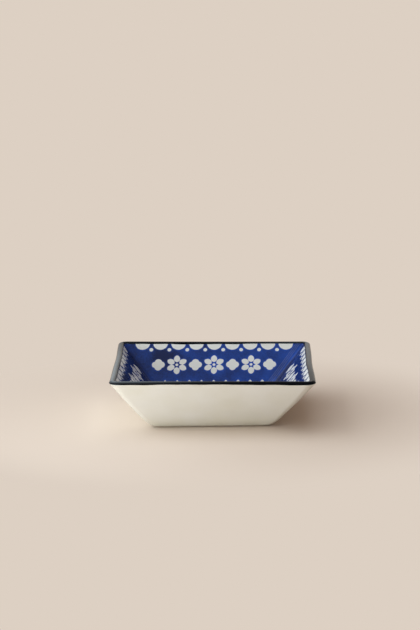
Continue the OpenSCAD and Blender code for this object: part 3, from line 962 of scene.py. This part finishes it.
class SAUCEDISH_OT_transfers(bpy.types.Operator):
    """Five printed transfers: one on each wall, which meet at the corners, and one on the floor"""

    bl_idname = "saucedish.transfers"
    bl_label = "Transfers"

    # Quarter turns from the right-hand wall to each wall
    QUARTERS = {"front": 3, "right": 0, "back": 1, "left": 2}
    # Sheets whose painted shade deepens from one end; the others are deepened all along
    SHADE_RAMP_SHEETS = ("front", "back")

    def execute(self, context):
        section = Section(context.scene)
        cobalt = cobalt_print(context.scene)
        self.walls(section, context.scene.dish_print, context.scene.dish_finish, cobalt)
        self.floor(section, context.scene.dish_print, cobalt)
        return {"FINISHED"}

    def walls(self, section, prints, finish, material):
        """A sheet from the band down round the bend, carried along one side, with its back behind it.

        The ground is deepened all along the left and right sheets and towards one end of the front and back
        sheets; on the left sheet and the left end of the back sheet this is painted shade, where the left
        wall's shade falls.
        """
        face = section.hollow(0.0, *FACE_RINGS)
        back = section.hollow(section.sizes.print_sheet, *BACK_RINGS)[::-1]
        profile = np.concatenate([face, back])
        along = loft(profile, side_places(self.QUARTERS["front"], *SHEET_STEPS))[..., 0]
        # On the bend and on the back the drop is past every motif
        drop = np.full((len(profile), 1), 2 * section.flat_length)
        flat_rings = FACE_RINGS[0]
        drop[:flat_rings, 0] = np.linspace(0, section.flat_length, flat_rings, endpoint=False)
        motifs = wall_motifs(along, drop, section, prints)
        corner = profile[:, :1] + along
        # Painted shade: a deeper ground from one end of a sheet
        painted_shade_end = self.thickness(corner, finish)
        faces = self.strip_faces(*along.shape)
        for side, turns in self.QUARTERS.items():
            points = section.finished(loft(profile, side_places(turns, *SHEET_STEPS)))
            piece = new_piece(f"{side}_transfer", points, faces, material)
            attribute(piece, "motif", motifs)
            attribute(piece, "corner", corner)
            # The thick attribute carries the painted shade
            attribute(piece, "thick", painted_shade_end if side in self.SHADE_RAMP_SHEETS else np.ones_like(along))
            dress(piece, "cobalt_print", f"{side}_wall_print")

    @staticmethod
    def thickness(distance, finish):
        """How deep the painted shade lies, from 0 to 1: a smooth step of the distance from a sheet's unshaded
        end.
        """
        step = np.clip((distance - finish.painted_shade_start) / (finish.painted_shade_full - finish.painted_shade_start), 0, 1)
        return step**2 * (3 - 2 * step)

    @staticmethod
    def strip_faces(rows, columns):
        """Faces of a sheet whose rows loop round its face and back, closed by a face at each end."""
        first = np.arange(rows) * columns
        last = first[::-1] + columns - 1
        return grid_faces(rows, columns, True, False) + [first.tolist(), last.tolist()]

    @staticmethod
    def floor(section, prints, material):
        """A level sheet: its outline at the bend, which shrinks to the middle in even steps."""
        ring = section.bend(np.array(0.0))
        low = ring - [0, section.sizes.print_sheet, 0]
        shrink = np.linspace(1, 0, FLOOR_RINGS, endpoint=False)[:, None]
        face = ring * [1, 0, 1] * shrink + ring * [0, 1, 0]
        profile = np.concatenate([[low], face])
        places = ring_places(*FLOOR_STEPS)
        piece = cup(section, "floor_transfer", profile, places, material)
        points = loft(profile, places)
        attribute(piece, "motif", floor_motifs(points[..., 0], points[..., 1], section, prints))
        attribute(piece, "corner", np.full(points.shape[:2], section.bend_half))
        attribute(piece, "thick", np.zeros(points.shape[:2]))
        dress(piece, "cobalt_print", "floor_print")


class SAUCEDISH_OT_stage(bpy.types.Operator):
    """Pale paper table, soft studio light mostly from the left, and a long lens a little above the rim"""

    bl_idname = "saucedish.stage"
    bl_label = "Stage"

    def execute(self, context):
        scene = context.scene
        stage = scene.dish_stage
        self.table(stage, scene.dish_colours, scene.dish_finish)
        self.sky(scene, stage, scene.dish_colours)
        middle = scene.dish_sizes.height / 2
        left = Vector((-stage.left_distance, 0, stage.left_height / 2))
        turn = Matrix.Rotation(stage.front_turn, 3, "Z")
        front = turn @ Vector((stage.front_distance, 0, stage.front_height / 2))
        overhead = Vector((-stage.overhead_left, 0, stage.overhead_height))
        softboxes = {
            "left": (left, left.z, stage.left_width, stage.left_height, stage.left_glow),
            "front": (front, middle, stage.front_width, stage.front_height, stage.front_glow),
            "overhead": (overhead, middle, stage.overhead_width, stage.overhead_depth, stage.overhead_glow),
        }
        for side, softbox in softboxes.items():
            self.softbox(scene, f"{side}_softbox", *softbox)
        self.camera(scene, stage)
        scene.view_settings.view_transform = "Standard"
        return {"FINISHED"}

    @staticmethod
    def seen(tree):
        """1 for a ray that shows the surface to the eye, straight or in gloss or glass, and otherwise 0."""
        path = add(tree, "ShaderNodeLightPath").node.outputs
        bent = {0: path["Is Glossy Ray"], 1: path["Is Transmission Ray"]}
        either = {0: path["Is Camera Ray"], 1: add(tree, "ShaderNodeMath", bent, operation="ADD")}
        return add(tree, "ShaderNodeMath", either, operation="ADD", use_clamp=True)

    def table(self, stage, tones, finish):
        """A level sheet of matt paper, which takes the dish's shade and shows its plain colour far off."""
        half = stage.table_half
        corners = np.array([[-half, -half, 0], [half, -half, 0], [half, half, 0], [-half, half, 0]])
        material, tree, place = new_material("matt_paper", tones.table)
        paper = {"Base Color": tones.table, "Roughness": finish.paper_roughness}
        shaded = add(tree, "ShaderNodeBsdfPrincipled", paper)
        plain = add(tree, "ShaderNodeEmission", {"Color": tones.table})
        distance = add(tree, "ShaderNodeVectorMath", {0: place}, "Value", operation="LENGTH")
        reach = {"Value": distance, "From Min": stage.shade_reach, "From Max": stage.plain_reach}
        far = add(tree, "ShaderNodeMapRange", reach, interpolation_type="SMOOTHSTEP")
        amount = add(tree, "ShaderNodeMath", {0: far, 1: self.seen(tree)}, operation="MULTIPLY")
        surface = add(tree, "ShaderNodeMixShader", {0: amount, 1: shaded, 2: plain})
        add(tree, "ShaderNodeOutputMaterial", {"Surface": surface})
        new_piece("paper_table", corners, [[0, 1, 2, 3]], material)

    def sky(self, scene, stage, tones):
        """Even light from all round, which the eye sees as a plain backdrop."""
        world = bpy.data.worlds.new("studio")
        world.use_nodes = True
        tree = world.node_tree
        tree.nodes.clear()
        light = add(tree, "ShaderNodeBackground", {"Color": tones.fill, "Strength": stage.sky_glow})
        plain = add(tree, "ShaderNodeBackground", {"Color": tones.backdrop})
        surface = add(tree, "ShaderNodeMixShader", {0: self.seen(tree), 1: light, 2: plain})
        add(tree, "ShaderNodeOutputWorld", {"Surface": surface})
        scene.world = world

    @staticmethod
    def softbox(scene, name, place, aim_height, width, height, glow):
        """A flat lamp that looks at a height above the dish's middle, with power by its area and glow."""
        lamp = bpy.data.lights.new(name, "AREA")
        lamp.shape = "RECTANGLE"
        lamp.size = width
        lamp.size_y = height
        lamp.energy = LAMP_POWER * width * height * glow
        lamp.color = scene.dish_colours.lamp[:3]
        box = bpy.data.objects.new(name, lamp)
        box.location = place
        box.rotation_mode = "QUATERNION"
        box.rotation_quaternion = (Vector((0, 0, aim_height)) - place).to_track_quat("-Z", "Y")
        box.visible_camera = False
        scene.collection.objects.link(box)

    @staticmethod
    def camera(scene, stage):
        """A long lens, placed from the dish along its own three axes, and tipped a little sideways."""
        turn = Matrix.Rotation(stage.camera_turn, 3, "Z")
        ahead = turn @ Vector((0, math.cos(stage.camera_pitch), -math.sin(stage.camera_pitch)))
        right = turn @ Vector((1, 0, 0))
        up = right.cross(ahead)
        place = stage.camera_right * right + stage.camera_up * up - stage.camera_distance * ahead
        cos, sin = math.cos(stage.camera_roll), math.sin(stage.camera_roll)
        right, up = cos * right - sin * up, sin * right + cos * up
        data = bpy.data.cameras.new("long_lens")
        data.lens = stage.lens
        data.clip_end = stage.camera_reach
        camera = bpy.data.objects.new("long_lens", data)
        camera.matrix_world = Matrix.Translation(place) @ Matrix((right, up, -ahead)).transposed().to_4x4()
        scene.collection.objects.link(camera)
        scene.camera = camera


# Panel, registration and the run itself


class VIEW3D_PT_sauce_dish(bpy.types.Panel):
    """Lists the sizes and colours of the dish, and the steps that make it"""

    bl_label = "Sauce dish"
    bl_space_type = "VIEW_3D"
    bl_region_type = "UI"
    bl_category = "Sauce dish"

    def draw(self, context):
        for name in GROUPS:
            group = getattr(context.scene, name)
            box = self.layout.box()
            for value in group.__annotations__:
                box.prop(group, value)
        for step in STEPS:
            self.layout.operator(step.bl_idname)


GROUPS = {
    "dish_sizes": DishSizes,
    "dish_hand": DishHand,
    "dish_print": PrintSizes,
    "dish_colours": DishColours,
    "dish_finish": DishFinish,
    "dish_stage": DishStage,
}
STEPS = (
    SAUCEDISH_OT_stage,
    SAUCEDISH_OT_stoneware_body,
    SAUCEDISH_OT_outside_glazes,
    SAUCEDISH_OT_inside_glaze,
    SAUCEDISH_OT_brushed_rim,
    SAUCEDISH_OT_transfers,
)
CLASSES = (*GROUPS.values(), *STEPS, VIEW3D_PT_sauce_dish)


def register():
    for kind in CLASSES:
        bpy.utils.register_class(kind)
    for name, group in GROUPS.items():
        setattr(bpy.types.Scene, name, bpy.props.PointerProperty(type=group))


def unregister():
    for name in GROUPS:
        delattr(bpy.types.Scene, name)
    for kind in reversed(CLASSES):
        bpy.utils.unregister_class(kind)


def main():
    """Makes the stage and the dish."""
    register()
    bpy.ops.saucedish.stage()
    bpy.ops.saucedish.stoneware_body()
    bpy.ops.saucedish.outside_glazes()
    bpy.ops.saucedish.inside_glaze()
    bpy.ops.saucedish.brushed_rim()
    bpy.ops.saucedish.transfers()


if __name__ == "__main__":
    main()
